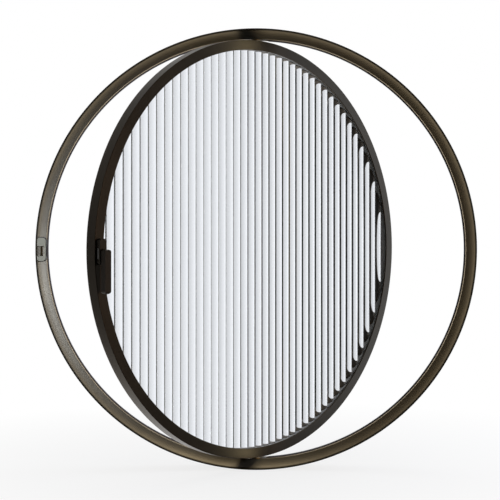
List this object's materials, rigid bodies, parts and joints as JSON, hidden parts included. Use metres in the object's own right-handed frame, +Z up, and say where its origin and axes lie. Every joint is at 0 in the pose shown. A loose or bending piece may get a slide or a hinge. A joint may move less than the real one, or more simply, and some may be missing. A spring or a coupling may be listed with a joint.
{
  "type": "round pivot window",
  "caption": "Round window with a splayed ring frame and a reeded glass sash that turns on upright centre pivots, with a lever handle, bolt and keep.",
  "frame": {"origin": "centre of the ring, on the upright pivot axis and at mid depth of the frame", "axes": "+Y along the axis of the ring from the room to the outside, +Z up along the pivot axis, +X to the right as seen from the room"},
  "size_m": [1, 0.7102, 1],
  "materials": {
    "bronze_frame": "satin bronze anodised",
    "bronze_sash": "satin dark bronze anodised",
    "bronze_handle": "satin dark bronze",
    "bronze_keep": "satin bronze",
    "pile_seal": "woven pile",
    "reeded_glass": "rolled reeds on one face",
    "gasket_rubber": "matte",
    "setting_rubber": "matte",
    "cast_blocks": "as sawn",
    "bush_bronze": "turned",
    "pivot_steel": "ground",
    "zinc_screws": "zinc plated",
    "nylon_washer": "moulded"
  },
  "bodies": {
    "frame": {"outer_frame": "bronze_frame", "weather_seal": "pile_seal", "top_pivot_block": "cast_blocks", "bottom_pivot_block": "cast_blocks", "top_pivot_bush": "bush_bronze", "bottom_pivot_bush": "bush_bronze", "frame_pivot_screws": "zinc_screws", "latch_keep": "bronze_keep", "keep_edging": "setting_rubber", "keep_screws": "bronze_keep"},
    "sash": {"sash_ring": "bronze_sash", "glazing_bead": "bronze_sash", "reeded_glass": "reeded_glass", "inner_gasket": "gasket_rubber", "outer_gasket": "gasket_rubber", "setting_blocks": "setting_rubber", "top_pivot_shoe": "pivot_steel", "bottom_pivot_shoe": "pivot_steel", "top_pivot_pin": "pivot_steel", "bottom_pivot_pin": "pivot_steel", "sash_pivot_screws": "zinc_screws", "thrust_washer": "nylon_washer", "handle_base": "bronze_handle", "handle_base_plate": "zinc_screws", "handle_screws": "zinc_screws"},
    "handle": {"handle_lever": "bronze_handle", "lever_spindle": "pivot_steel", "latch_crank": "bush_bronze", "lever_grub_screw": "zinc_screws", "lever_washer": "nylon_washer"},
    "bolt": {"latch_bolt": "pivot_steel"}
  },
  "joints": [
    {"name": "sash_pivot", "type": "hinge", "parent": "frame", "child": "sash", "pos_m": [0, 0, 0], "axis": [0, 0, 1], "range_deg": [-45, 125]},
    {"name": "handle_turn", "type": "hinge", "parent": "sash", "child": "handle", "pos_m": [-0.3281, -0.3281, 0], "axis": [0.7071, -0.7071, 0], "range_deg": [0, 90]},
    {"name": "bolt_slide", "type": "slide", "parent": "sash", "child": "bolt", "axis": [-0.7071, -0.7071, 0], "range_m": [0, 0.0085]}
  ],
  "couplings": [
    {"joint": "bolt_slide", "follows": "handle_turn", "m_per_rad": 0.00541}
  ]
}
